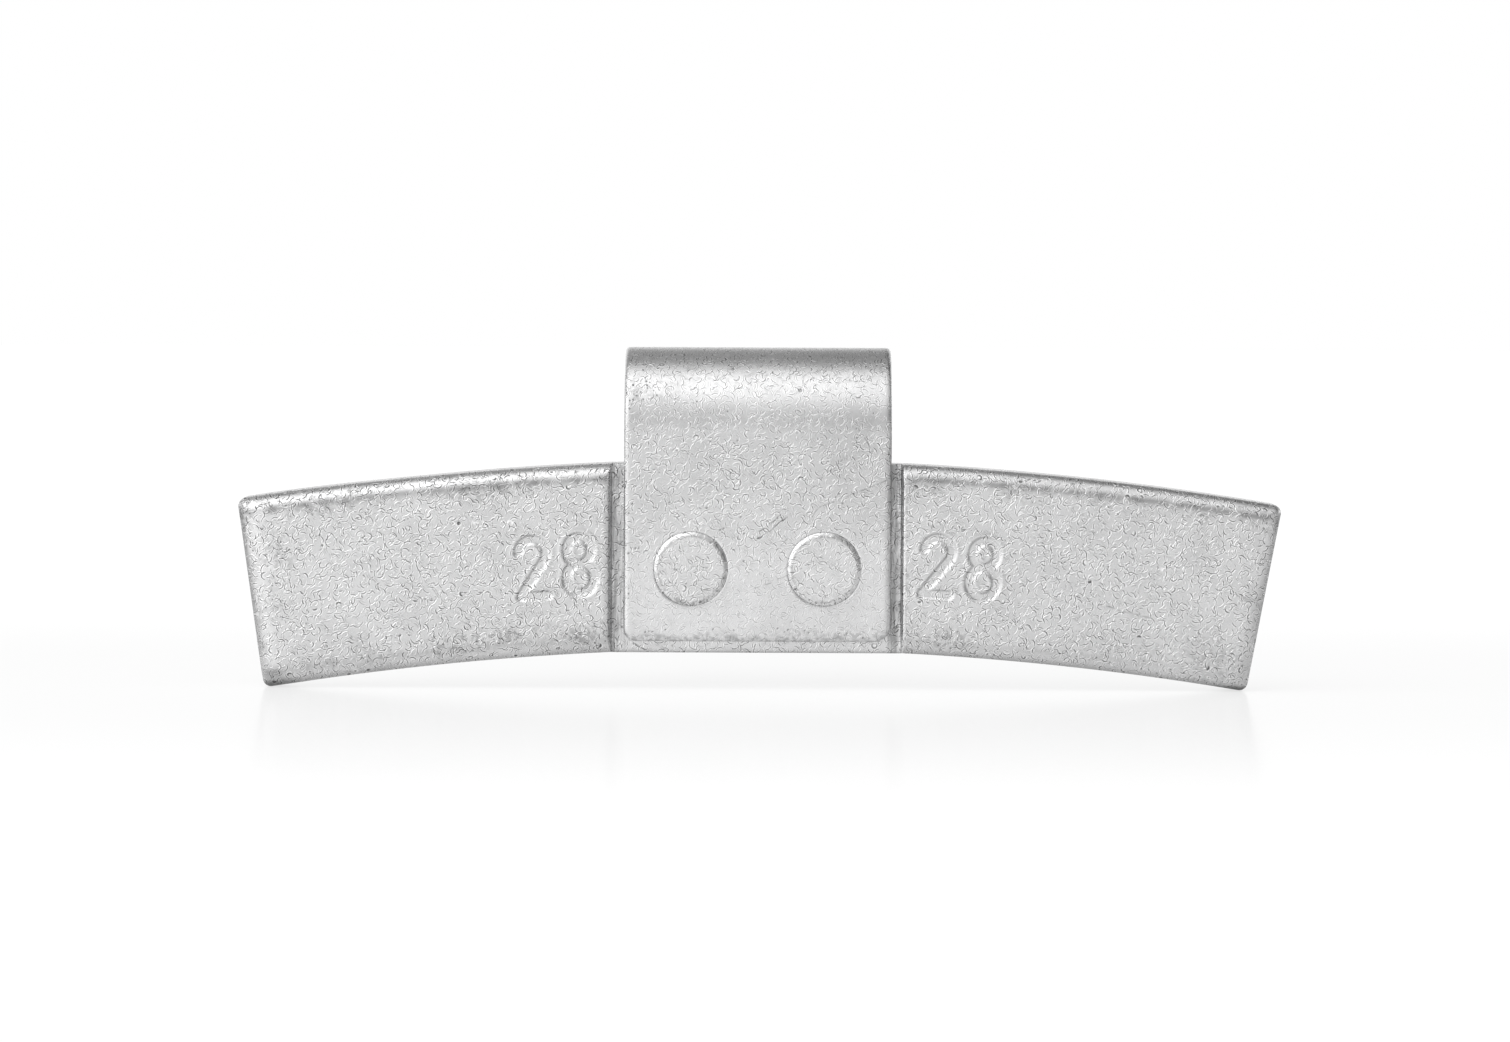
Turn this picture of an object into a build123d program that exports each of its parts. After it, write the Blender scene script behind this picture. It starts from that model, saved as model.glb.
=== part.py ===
"""Clip-on balance weight for a car wheel: a pressed steel bar with a spring steel clip riveted to it.

The rim flange of the wheel stands in the slot between the back of the bar and the hook of the clip.
The origin is in the middle of that slot, level with the underside of the clip's bend.
+X runs along the bar, +Y points from the visible front to the tyre side, +Z points outwards on
the wheel. All sizes are in millimetres and all angles in degrees.
"""

import os
from math import cos, isclose, radians, sin, sqrt, tan

from build123d import *

# Bar: two arms that follow the rim, and a straight pad between them under the clip
bar_thickness = 4.18
bar_height = 12.15
arm_outer_radius = 204.5
arm_half_angle = 9.45
crop_skew = 1.25  # both ends are sheared this far off radial, leaning the same way
corner_radius = 0.55
front_edge_radius = 1.3
back_edge_radius = 0.35

# Recess pressed into the front of the pad, which the clip lies in
recess_depth = 0.9
recess_side_gap = 0.78
recess_wall_draft = 12.0
recess_edge_radius = 0.4

# Clip: a strip that stands in the recess, turns over the flange and comes down behind it
clip_thickness = 1.0
clip_width = 17.15
clip_end_margin = 0.77  # between the clip's lower edge and the pad's
clip_corner_radius = 0.9
clip_edge_radius = 0.22
slot_width = 5.4
slot_depth = 6.4  # from the underside of the bend down to the pad's upper edge
hook_lean = 15.0
hook_leg_length = 2.0
hook_curl_radius = 0.9
hook_curl_angle = 45.0
hook_tip_length = 0.5
hook_corner_radius = 1.2

# Rivet studs: pushed out of the pad by a punch, then headed over in the clip's two holes
stud_spacing = 8.55
stud_height = 4.68  # above the clip's lower edge
stud_radius = 2.1
stud_clearance = 0.02
head_radius = 2.37
head_rise = 0.14
head_edge_radius = 0.08
countersink_angle = 90.0
punch_depth = 1.2
punch_draft = 3.0
punch_edge_radius = 0.25

# Places that follow from the sizes above
bar_back = -slot_width / 2
bar_front = bar_back - bar_thickness
pad_front = bar_front + recess_depth
pad_half_width = clip_width / 2 + recess_side_gap
pad_top = -slot_depth
arm_inner_radius = arm_outer_radius - bar_height
arm_mid_radius = arm_outer_radius - bar_height / 2
axle_height = pad_top - sqrt(arm_outer_radius**2 - pad_half_width**2)
pad_bottom = axle_height + sqrt(arm_inner_radius**2 - pad_half_width**2)
shoulder_half_width = pad_half_width + recess_depth * tan(radians(recess_wall_draft))
clip_front = pad_front - clip_thickness
clip_end = pad_bottom + clip_end_margin
bend_radius = (slot_width / 2 - pad_front) / 2
stud_z = clip_end + stud_height
stud_places = [(-stud_spacing / 2, stud_z), (stud_spacing / 2, stud_z)]
sink_depth = (head_radius - stud_radius) / tan(radians(countersink_angle / 2))


def crop_point(side, rise):
    """A point on the sheared end line of one arm, so far above the middle of the arm's height."""
    turn = radians(side * arm_half_angle)
    lean = radians(side * arm_half_angle + crop_skew)
    x = arm_mid_radius * sin(turn) + rise * sin(lean)
    z = arm_mid_radius * cos(turn) + rise * cos(lean)
    return (x, axle_height + z)


# The bar as seen from the front, pressed to its full thickness
with BuildPart() as weight_bar:
    with BuildSketch(Plane.XZ.offset(-bar_back)) as bar_outline:
        with Locations((0, axle_height)):
            Circle(arm_outer_radius)
            Circle(arm_inner_radius, mode=Mode.SUBTRACT)
        with BuildLine():
            Polyline(
                crop_point(-1, -bar_height),
                crop_point(-1, bar_height),
                crop_point(1, bar_height),
                crop_point(1, -bar_height),
                close=True,
            )
        make_face(mode=Mode.INTERSECT)
        with Locations((0, (pad_top + pad_bottom) / 2)):
            Rectangle(2 * pad_half_width, 2 * bar_height, mode=Mode.SUBTRACT)
            Rectangle(2 * pad_half_width, pad_top - pad_bottom)
    extrude(amount=bar_thickness)
    thickness_edges = weight_bar.edges().filter_by(Axis.Y).sort_by(Axis.X)
    fillet(thickness_edges[:2] + thickness_edges[-2:], corner_radius)
    fillet(weight_bar.faces().sort_by(Axis.Y)[0].edges(), front_edge_radius)
    fillet(weight_bar.faces().sort_by(Axis.Y)[-1].edges(), back_edge_radius)

    # The recess runs through from the pad's upper edge to its lower edge
    with BuildSketch(Plane.XY.offset(pad_top)) as recess_profile:
        with BuildLine():
            Polyline(
                (-pad_half_width, pad_front),
                (pad_half_width, pad_front),
                (shoulder_half_width, bar_front),
                (pad_half_width + clip_width, bar_front),
                (pad_half_width + clip_width, bar_front - front_edge_radius),
                (-pad_half_width - clip_width, bar_front - front_edge_radius),
                (-pad_half_width - clip_width, bar_front),
                (-shoulder_half_width, bar_front),
                close=True,
            )
        make_face()
        shoulders = recess_profile.vertices().group_by(Axis.Y)[1].sort_by(Axis.X)[1:3]
        fillet(shoulders, recess_edge_radius)
    extrude(amount=2 * bar_height, both=True, mode=Mode.SUBTRACT)

    # The pad's front is flat right up to its edges, where the arms are rounded
    with BuildSketch(Plane.XZ.offset(back_edge_radius - bar_back)) as pad_outline:
        with Locations((0, (pad_top + pad_bottom) / 2)):
            Rectangle(2 * pad_half_width, pad_top - pad_bottom)
    extrude(amount=bar_thickness - recess_depth - back_edge_radius)

    # Studs on the pad's front, and the punch marks that they were pushed out of
    with Locations(Plane.XZ.offset(-pad_front)):
        with Locations(*stud_places):
            Cylinder(stud_radius, clip_thickness, align=(Align.CENTER, Align.CENTER, Align.MIN))
    with Locations(Plane.XZ.offset(-clip_front)):
        with Locations(*stud_places):
            Cone(
                stud_radius,
                head_radius,
                sink_depth,
                align=(Align.CENTER, Align.CENTER, Align.MAX),
            )
            Cylinder(head_radius, head_rise, align=(Align.CENTER, Align.CENTER, Align.MIN))
    head_rims = weight_bar.faces().sort_by(Axis.Y)[:2].edges()
    fillet(head_rims, head_edge_radius)
    with Locations(Plane.XZ.offset(-bar_back)):
        with Locations(*stud_places):
            Cone(
                stud_radius,
                stud_radius - punch_depth * tan(radians(punch_draft)),
                punch_depth,
                align=(Align.CENTER, Align.CENTER, Align.MIN),
                mode=Mode.SUBTRACT,
            )
    punch_rims = weight_bar.faces().sort_by(Axis.Y)[-1].inner_wires().edges()
    fillet(punch_rims, punch_edge_radius)

weight_bar.part.label = "weight_bar"


# The clip's inner line goes up the pad, over the bend, down the hook and out along its tip
with BuildPart() as spring_clip:
    with BuildSketch(Plane.YZ) as strip_profile:
        with BuildLine() as strip_line:
            front_leg = Line((pad_front, clip_end), (pad_front, -bend_radius))
            bend = JernArc(front_leg @ 1, front_leg % 1, bend_radius, -180 - hook_lean)
            hook_leg = PolarLine(bend @ 1, hook_leg_length, direction=bend % 1)
            curl = JernArc(hook_leg @ 1, hook_leg % 1, hook_curl_radius + clip_thickness, hook_curl_angle)
            PolarLine(curl @ 1, hook_tip_length, direction=curl % 1)
            offset(amount=clip_thickness, side=Side.LEFT)
        make_face()
    extrude(amount=clip_width / 2, both=True)
    strip_ends = spring_clip.faces().filter_by(
        lambda face: isclose(face.area, clip_width * clip_thickness, rel_tol=1e-6)
    )
    lower_end, hook_end = strip_ends.sort_by(Axis.Z)
    fillet(lower_end.edges().sort_by(SortBy.LENGTH)[:2], clip_corner_radius)
    fillet(hook_end.edges().sort_by(SortBy.LENGTH)[:2], hook_corner_radius)
    outer_edge = spring_clip.faces().sort_by(Axis.Y)[0].edges().sort_by(Axis.Z)[0]
    fillet(outer_edge, clip_edge_radius)
    with Locations(Plane.XZ.offset(-clip_front)):
        with Locations(*stud_places):
            CounterSinkHole(
                stud_radius + stud_clearance,
                head_radius + stud_clearance,
                depth=2 * clip_thickness,
                counter_sink_angle=countersink_angle,
            )

spring_clip.part.label = "spring_clip"


os.makedirs("parts", exist_ok=True)
export_step(weight_bar.part, "parts/weight_bar.step")
export_step(spring_clip.part, "parts/spring_clip.step")
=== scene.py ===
"""Looks of a clip-on wheel balance weight: a coated steel bar and the spring clip riveted to it.

Shapes are worked out in millimetres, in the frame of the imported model, and stored in metres.
+X runs along the bar, the front faces -Y, and +Z is up, towards the top of the clip.
"""

from math import asin, atan2, cos, pi, radians, sin, sqrt, tan

import bpy
import bmesh
import numpy as np
from mathutils import Matrix, Vector, noise


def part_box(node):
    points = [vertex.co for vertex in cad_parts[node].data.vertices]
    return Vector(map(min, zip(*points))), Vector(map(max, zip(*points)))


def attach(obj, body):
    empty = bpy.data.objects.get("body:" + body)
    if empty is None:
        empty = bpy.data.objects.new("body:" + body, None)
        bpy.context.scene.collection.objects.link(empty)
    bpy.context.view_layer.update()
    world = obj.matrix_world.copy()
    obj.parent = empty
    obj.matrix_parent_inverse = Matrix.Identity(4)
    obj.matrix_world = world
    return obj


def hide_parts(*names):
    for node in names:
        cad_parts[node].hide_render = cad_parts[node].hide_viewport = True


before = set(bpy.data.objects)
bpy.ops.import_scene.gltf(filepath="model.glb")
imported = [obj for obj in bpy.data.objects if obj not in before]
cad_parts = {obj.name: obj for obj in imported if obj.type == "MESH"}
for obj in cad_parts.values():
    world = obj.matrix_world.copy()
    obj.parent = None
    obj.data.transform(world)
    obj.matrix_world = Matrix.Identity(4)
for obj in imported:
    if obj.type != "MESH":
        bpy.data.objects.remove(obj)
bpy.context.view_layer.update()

MM = 0.001
BOX_INSET = 0.0005


def node_box(node):
    """Lowest and highest corner of a solid, in millimetres."""
    low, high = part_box(node)
    return np.array(low) / MM, np.array(high) / MM


bar_low, bar_high = node_box("weight_bar")
clip_low, clip_high = node_box("spring_clip")

# Bar, as in the solid model
BAR_THICKNESS = 4.18
BAR_HEIGHT = 12.15
ARM_OUTER_RADIUS = 204.5
ARM_HALF_ANGLE = radians(9.45)
CROP_SKEW = radians(1.25)
CORNER_RADIUS = 0.55
FRONT_EDGE = 1.15
BACK_EDGE = 0.35
PAD_EDGE = 0.12
RECESS_DEPTH = 0.9
RECESS_SIDE_GAP = 0.78
LEFT_RECESS = {"foot": 9.355, "draft": radians(12.0), "shoulder": 0.42}
RIGHT_RECESS = {"foot": 9.22, "draft": radians(2.5), "shoulder": 0.26}

# Where pressing and wear have changed the bar
LEFT_CROWN = 2.5
LEFT_CROWN_DROP = 0.17
RIGHT_CROWN = 2.2
RIGHT_CROWN_DROP = 0.06
FACET_HEIGHT = 1.22
FACET_DROP = 0.27
FACET_START = 29.0
FACET_FULL = 30.8
END_LIFT = 0.14
LIFT_START = 20.0
LIFT_FULL = 33.0
RIGHT_WALL_X = RIGHT_RECESS["foot"] + 0.11
BURR_X = RIGHT_RECESS["foot"] + 0.34

# Middle and width of the bar's pitted patches
LEFT_END_X = (-30.3, 1.6)
RIGHT_CORNER_X = (29.5, 2.6)
BESIDE_PAD_X = (11.4, 2.6)
LOWER_LEFT_X = (-16.5, 5.5)
SPECKLED_X = (-31.0, 1.5)
SPECKLED_Z = (-11.7, 1.4)

BAR_BACK = bar_high[1]
BAR_FRONT = BAR_BACK - BAR_THICKNESS
PAD_TOP = bar_high[2]
FEET = bar_low[2]

# Clip, as in the solid model
STRIP = 1.0
CLIP_HALF = clip_high[0]
CLIP_FRONT = clip_low[1]
CLIP_END = clip_low[2]
HOOK_LEAN = radians(15.0)
HOOK_LEG = 2.0
CURL_RADIUS = 1.4
CURL_ANGLE = radians(45.0)
HOOK_TIP = 0.5
HOOK_CORNER = 1.2
CLIP_LEFT_CORNER = 0.8
CLIP_RIGHT_CORNER = 1.15
CLIP_EDGE = 0.3
CLIP_INNER_EDGE = 0.12
PAD_FRONT = CLIP_FRONT + STRIP
BEND_OUTER = (clip_high[1] - CLIP_FRONT) / 2
BEND_MID = BEND_OUTER - STRIP / 2
BEND_BASE = clip_high[2] - BEND_OUTER

# Rivet studs
STUD_X = 8.55 / 2
STUD_RISE = 4.68
STUD_RADIUS = 2.1
HEAD_RADIUS = 2.37
HEAD_RISE = 0.14
HEAD_SINK = 0.03
HEAD_RIM = 0.25
HOLE_GAP = 0.012
MOUTH_RADIUS = HEAD_RADIUS + HOLE_GAP
PUNCH_DEPTH = 1.2
PUNCH_RIM = STUD_RADIUS + 0.24
STUD_Z = CLIP_END + STUD_RISE

PAD_HALF = CLIP_HALF + RECESS_SIDE_GAP
ARM_INNER_RADIUS = ARM_OUTER_RADIUS - BAR_HEIGHT
ARM_MID_RADIUS = ARM_OUTER_RADIUS - BAR_HEIGHT / 2
END_MID_X = ARM_MID_RADIUS * sin(ARM_HALF_ANGLE)
AXLE_Z = PAD_TOP - sqrt(ARM_OUTER_RADIUS**2 - PAD_HALF**2)
PAD_BOTTOM = AXLE_Z + sqrt(ARM_INNER_RADIUS**2 - PAD_HALF**2)

# Mass figure stamped into both arms
FIGURE_HEIGHT = 4.15
FIGURE_WIDTH = 2.3
FIGURE_PITCH = 3.0
FIGURE_STROKE = 0.54
FIGURE_DEPTH = 0.11
FIGURE_WALL = 0.18
FIGURE_BAND = (3.35, 8.15)
LEFT_FIGURE_X = -15.55
RIGHT_FIGURE_X = 10.35
FIGURE_Z = -13.0
FAR_OFF = 9.0

# How finely the skins are divided
EDGE_LINES = 12
ARM_STEP = 0.2
RISE_STEP = 0.24
FIGURE_STEP = 0.054
WALL_STEP = 0.04
PAD_LINES = 60
BACK_STEP = 0.5
PUNCH_BLOCK = 3.1
HOLE_BLOCK = 3.0


def hump(value, middle, width):
    """A bell that is 1 at the middle and has nearly died away two widths from it."""
    return np.exp(-(((value - middle) / width) ** 2))


def smooth(value, low, high):
    """Eases from 0 at low to 1 at high."""
    t = np.clip((value - low) / (high - low), 0, 1)
    return t * t * (3 - 2 * t)


def rolled_drop(distance, radius):
    """How far a rolled edge has fallen away at a distance inside the outline."""
    rest = np.clip(radius - distance, 0, radius)
    return radius - np.sqrt(radius**2 - rest**2)


def rolled_lines(radius, count):
    """Distances from an edge that divide its rolled quarter circle evenly."""
    return radius * (1 - np.cos(np.linspace(0, pi / 2, count, endpoint=False)))


def even_lines(start, stop, step):
    """Evenly spaced distances from start up to stop, which belongs to the next stretch."""
    return np.linspace(start, stop, max(1, round((stop - start) / step)), endpoint=False)


def wander(points, size, seed):
    """Smooth unevenness between about -1 and 1, with bumps of about the given size."""
    shift = np.array([17.3, 41.9, 73.1]) * seed
    return np.array([noise.noise(p) for p in (points / size + shift).tolist()]) * 1.6


def put_in_scene(name, data):
    """A new object in the scene that holds a mesh or a camera."""
    thing = bpy.data.objects.new(name, data)
    bpy.context.scene.collection.objects.link(thing)
    return thing


class Sheet:
    """Points and faces of one closed skin, in millimetres."""

    def __init__(self):
        self.points = []
        self.faces = []
        self.count = 0

    def add(self, points):
        """Adds points of any array shape and returns their numbers in the same shape."""
        points = np.asarray(points, float)
        numbers = np.arange(self.count, self.count + points[..., 0].size)
        self.points.append(points.reshape(-1, 3))
        self.count += numbers.size
        return numbers.reshape(points.shape[:-1])

    def grid(self, numbers, hole=None):
        """Four-sided faces over a grid of point numbers, apart from the cells marked as hole."""
        quads = np.stack([numbers[:-1, :-1], numbers[1:, :-1], numbers[1:, 1:], numbers[:-1, 1:]], -1)
        if hole is not None:
            quads = quads[~hole]
        self.faces.extend(quads.reshape(-1, 4).tolist())

    def band(self, ring_a, ring_b):
        """Faces between two rings of as many points."""
        a, b = np.append(ring_a, ring_a[0]), np.append(ring_b, ring_b[0])
        self.faces.extend(np.stack([a[:-1], a[1:], b[1:], b[:-1]], -1).tolist())

    def follow(self, ring, points):
        """Adds a ring of points, joined to the ring before it."""
        added = self.add(points)
        self.band(ring, added)
        return added

    def step_band(self, fine, coarse):
        """Faces between a fine ring and a coarse one of (place in the fine ring, number) pairs."""
        for k, (place, number) in enumerate(coarse):
            after, after_number = coarse[(k + 1) % len(coarse)]
            if after <= place:
                after += len(fine)
            run = [fine[i % len(fine)] for i in range(place, after + 1)]
            self.faces.append(run + [after_number, number])

    def build(self, name, low, high, pits_and_shade):
        """The skin as an object inside a box, with its faces turned outwards.

        pits_and_shade gives each point how much its coating is broken by pits, and how much painted
        shade and dulling darken it.
        """
        points = np.clip(np.concatenate(self.points), low + BOX_INSET, high - BOX_INSET)
        mesh = bpy.data.meshes.new(name)
        mesh.from_pydata((points * MM).tolist(), [], self.faces)
        for label, amount in zip(("pitted", "dulled_and_painted_shade"), pits_and_shade(points)):
            marked = mesh.attributes.new(label, "FLOAT", "POINT")
            marked.data.foreach_set("value", np.clip(amount, 0, 1).astype(np.float32))
        shell = bmesh.new()
        shell.from_mesh(mesh)
        bmesh.ops.recalc_face_normals(shell, faces=shell.faces)
        shell.to_mesh(mesh)
        shell.free()
        mesh.polygons.foreach_set("use_smooth", [True] * len(mesh.polygons))
        return put_in_scene(name, mesh)


def outline_ring(numbers):
    """The points round a grid's outside, in order."""
    return np.concatenate([numbers[:-1, 0], numbers[-1, :-1], numbers[:0:-1, -1], numbers[0, :0:-1]])


def ring_places(rows, columns, shape):
    """Places in a fine grid's ring of the kept rows and columns."""
    n, m = shape
    places = list(rows[:-1])
    places += [n - 1 + c for c in columns[:-1]]
    places += [n - 1 + m - 1 + (n - 1 - r) for r in rows[:0:-1]]
    places += [2 * (n - 1) + m - 1 + (m - 1 - c) for c in columns[:0:-1]]
    return places


def cut_block(hole, u_lines, v_lines, middle_u, middle_v, half):
    """Marks a square of a grid's cells as hole and returns the slices of the points round it."""
    r0, r1 = np.searchsorted(u_lines, [middle_u - half, middle_u + half])
    c0, c1 = np.searchsorted(v_lines, [middle_v - half, middle_v + half])
    hole[r0:r1, c0:c1] = True
    return slice(r0, r1 + 1), slice(c0, c1 + 1)


def hole_rays(u, v, middle_u, middle_v):
    """Directions and distances from a hole's middle to the outside of the grid block round it."""
    du, dv = outline_ring(u) - middle_u, outline_ring(v) - middle_v
    reach = np.hypot(du, dv)
    return du / reach, dv / reach, reach


def round_corner(a, b, radius):
    """Moves places near a square corner so that the corner turns on the radius.

    a and b are the distances from the two edges that meet there.
    """
    p, q = radius - a, radius - b
    near = (p > 0) & (q > 0)
    reach = np.maximum(p, q)
    scale = np.where(near, reach / np.maximum(np.hypot(p, q), 1e-9), 1)
    return np.where(near, radius - p * scale, a), np.where(near, radius - q * scale, b)


def edge_distance(a, b, radius):
    """Distance from the outline near a rounded corner, from the distances to its two edges."""
    turned = radius - np.hypot(radius - a, radius - b)
    return np.where((a < radius) & (b < radius), turned, np.minimum(a, b))


# Bar

def end_angle(side, radius):
    """Angle at which a sheared end line crosses an arc of the radius."""
    turn = side * ARM_HALF_ANGLE
    lean = turn + CROP_SKEW
    start = Vector((sin(turn), cos(turn))) * ARM_MID_RADIUS
    along = Vector((sin(lean), cos(lean)))
    half = start.dot(along)
    reach = -half + sqrt(half**2 - start.length_squared + radius**2)
    place = start + along * reach
    return atan2(place.x, place.y)


END_ANGLES = {
    side: (end_angle(side, ARM_INNER_RADIUS), end_angle(side, ARM_OUTER_RADIUS)) for side in (-1, 1)
}


def end_lift(x):
    """How far the upper edge has sprung up towards the left end."""
    return END_LIFT * smooth(-x, LIFT_START, LIFT_FULL)


def bar_place(mid_x, rise):
    """Place in the outline, from where a line crosses half height and a height above the lower edge."""
    share = np.clip((np.abs(mid_x) - PAD_HALF) / (END_MID_X - PAD_HALF), 0, None)
    in_pad = np.abs(mid_x) <= PAD_HALF
    places = []
    for level, radius in enumerate((ARM_INNER_RADIUS, ARM_OUTER_RADIUS)):
        pad_angle = asin(PAD_HALF / radius)
        stop = np.where(mid_x < 0, END_ANGLES[-1][level], END_ANGLES[1][level])
        angle = np.sign(mid_x) * pad_angle * (1 - share) + stop * share
        x = np.where(in_pad, mid_x, radius * np.sin(angle))
        z = np.where(in_pad, (PAD_BOTTOM, PAD_TOP)[level], AXLE_Z + radius * np.cos(angle))
        places.append((x, z))
    up = rise / BAR_HEIGHT
    (x0, z0), (x1, z1) = places
    z1 = z1 + end_lift(x1)
    return x0 * (1 - up) + x1 * up, z0 * (1 - up) + z1 * up


def recess_wall(off_middle, foot, draft, shoulder):
    """Depth of the recess on one side: flat floor, drafted wall and rounded shoulder."""
    turn = pi / 2 - draft
    centre = foot + RECESS_DEPTH * tan(draft) + shoulder * tan(turn / 2)
    swing = np.linspace(turn, 0, 9)
    reach = np.concatenate([[0, foot], centre - shoulder * np.sin(swing)])
    depth = np.concatenate([[RECESS_DEPTH, RECESS_DEPTH], shoulder * (1 - np.cos(swing))])
    return np.interp(off_middle, reach, depth)


def recess_drop(x):
    """Depth of the recess across the bar, whose right wall was pressed steeper than its left one."""
    return np.where(x < 0, recess_wall(-x, **LEFT_RECESS), recess_wall(x, **RIGHT_RECESS))


def figure_strokes(left, middle_z, tilt):
    """Lines of the stamped 28, as runs of points in the plane of the front."""
    h, w = FIGURE_HEIGHT - FIGURE_STROKE, FIGURE_WIDTH - FIGURE_STROKE
    top = h / 2

    def loop(cx, cz, rx, rz, start, stop):
        turn = np.radians(np.linspace(start, stop, 33))
        return np.stack([cx + rx * np.cos(turn), cz + rz * np.sin(turn)], -1)

    cap = w / 2
    two_head = loop(cap, top - cap, cap, cap, 170, -38)
    two = np.concatenate([two_head, [[0.03, -top]], [[w, -top]]])
    small = 0.47 * h / 2
    large = h / 2 - small
    upper = loop(cap + FIGURE_PITCH, top - small, 0.88 * cap, small, 0, 360)
    lower = loop(cap + FIGURE_PITCH, -top + large, cap, large, 0, 360)
    turn = np.array([[cos(tilt), -sin(tilt)], [sin(tilt), cos(tilt)]])
    width = FIGURE_PITCH + FIGURE_WIDTH
    place = np.array([left + width / 2, middle_z])
    inset = np.array([FIGURE_STROKE / 2 - width / 2, 0])
    return [(run + inset) @ turn.T + place for run in (two, upper, lower)]


def stroke_distance(x, z, runs):
    """Distance of each place from the nearest stroke line."""
    nearest = np.full(x.shape, FAR_OFF)
    for run in runs:
        for (x0, z0), (x1, z1) in zip(run[:-1], run[1:]):
            dx, dz = x1 - x0, z1 - z0
            t = np.clip(((x - x0) * dx + (z - z0) * dz) / (dx * dx + dz * dz), 0, 1)
            nearest = np.minimum(nearest, np.hypot(x - x0 - t * dx, z - z0 - t * dz))
    return nearest


def stamp_drop(x, z):
    """Depth of the stamped figures, with a slight swell of metal beside the strokes."""
    drop = np.zeros(x.shape)
    for left, middle in ((LEFT_FIGURE_X, FIGURE_Z - 0.02), (RIGHT_FIGURE_X, FIGURE_Z)):
        tilt = -(left + FIGURE_PITCH) / ARM_MID_RADIUS
        zone = np.abs(x - left - FIGURE_PITCH) < FIGURE_PITCH + 1.2
        distance = np.full(x.shape, FAR_OFF)
        distance[zone] = stroke_distance(x[zone], z[zone], figure_strokes(left, middle, tilt))
        inside = FIGURE_STROKE / 2 - distance
        drop += FIGURE_DEPTH * smooth(inside, -FIGURE_WALL / 2, FIGURE_WALL / 2)
        drop -= 0.02 * hump(inside, -0.18, 0.1)
    return drop


def arm_lines(figure_near, figure_far):
    """Distances from an arm's end of the lines across it, fine over the stamped figure."""
    return np.concatenate([
        rolled_lines(FRONT_EDGE, EDGE_LINES),
        even_lines(FRONT_EDGE, END_MID_X - figure_far, ARM_STEP),
        even_lines(END_MID_X - figure_far, END_MID_X - figure_near, FIGURE_STEP),
        even_lines(END_MID_X - figure_near, END_MID_X - PAD_HALF, WALL_STEP),
    ])


def bar_lines():
    """Crossings at half height of all lines across the bar, from the left end to the right end."""
    left = arm_lines(-LEFT_FIGURE_X - FIGURE_PITCH - FIGURE_WIDTH - 0.2, -LEFT_FIGURE_X + 0.3)
    right = arm_lines(RIGHT_FIGURE_X - 0.2, RIGHT_FIGURE_X + FIGURE_PITCH + FIGURE_WIDTH + 0.3)
    by_wall = even_lines(-PAD_HALF, 0.3 - PAD_HALF, 0.05)
    pad = np.linspace(0.3 - PAD_HALF, PAD_HALF - 0.3, PAD_LINES)
    return np.concatenate([left - END_MID_X, by_wall, pad, -by_wall[::-1], (END_MID_X - right)[::-1]])


def rise_lines():
    """Heights above the lower edge of all lines along the bar."""
    low = rolled_lines(FRONT_EDGE, EDGE_LINES)
    band_low, band_high = FIGURE_BAND
    return np.concatenate([
        low,
        even_lines(FRONT_EDGE, band_low, RISE_STEP),
        even_lines(band_low, band_high, FIGURE_STEP),
        even_lines(band_high, BAR_HEIGHT - FRONT_EDGE, RISE_STEP),
        [BAR_HEIGHT - FRONT_EDGE],
        (BAR_HEIGHT - low)[::-1],
    ])


def bar_skin_places(lines, rises):
    """Outline places and edge distances of a grid over the bar, with its four corners turned."""
    mid_x, rise = np.meshgrid(lines, rises, indexing="ij")
    from_end = (END_MID_X - np.abs(mid_x)) * cos(ARM_HALF_ANGLE)
    from_long = np.minimum(rise, BAR_HEIGHT - rise)
    a, b = round_corner(from_end, from_long, CORNER_RADIUS)
    mid_x = np.sign(mid_x) * (END_MID_X - a / cos(ARM_HALF_ANGLE))
    rise = np.where(rise < BAR_HEIGHT / 2, b, BAR_HEIGHT - b)
    x, z = bar_place(mid_x, rise)
    return x, z, a, b


def uneven(x, z, edge):
    """Waves and shallow dents that pressing and tumbling leave in the bar's front."""
    flat = np.stack([x, 0 * x, z], -1).reshape(-1, 3)
    waves = 0.016 * wander(flat, 5.0, 5) + 0.007 * wander(flat, 1.7, 6)
    dents = smooth(wander(flat, 0.85, 7), 0.55, 1.3).reshape(x.shape)
    from_left = np.clip(1 - (x + END_MID_X) / LEFT_CROWN, 0, 1)
    from_right = np.clip(1 - (END_MID_X - x) / RIGHT_CROWN, 0, 1)
    crown = LEFT_CROWN_DROP * from_left**2 + RIGHT_CROWN_DROP * from_right**2
    below_ledge = np.clip((FEET + FACET_HEIGHT - z) / FACET_HEIGHT, 0, 1)
    facet = FACET_DROP * below_ledge * smooth(-x, FACET_START, FACET_FULL)
    crumbs = smooth(wander(flat, 0.33, 13), 0.0, 1.0).reshape(x.shape)
    burr = -0.05 * crumbs * hump(x, BURR_X, 0.11)
    return waves.reshape(x.shape) + 0.035 * dents * hump(edge, 1.2, 0.55) + crown + facet + burr


def bar_front_depth(x, z, a, b):
    """Depth of the bar's front behind its foremost plane."""
    edge = edge_distance(a, b, CORNER_RADIUS)
    arm = rolled_drop(edge, FRONT_EDGE) + uneven(x, z, edge)
    arm = np.maximum(arm, recess_drop(x)) + stamp_drop(x, z)
    pad = RECESS_DEPTH + rolled_drop(b, PAD_EDGE)
    share = np.clip((PAD_HALF - np.abs(x)) / 0.35, 0, 1)
    return arm * (1 - share) + pad * share


def from_end_line(side, x, z):
    """Distance along the bar of a place from one of the sheared end lines."""
    rise = z - AXLE_Z - ARM_MID_RADIUS * cos(ARM_HALF_ANGLE)
    return side * (side * END_MID_X + rise * tan(side * ARM_HALF_ANGLE + CROP_SKEW) - x)


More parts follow.
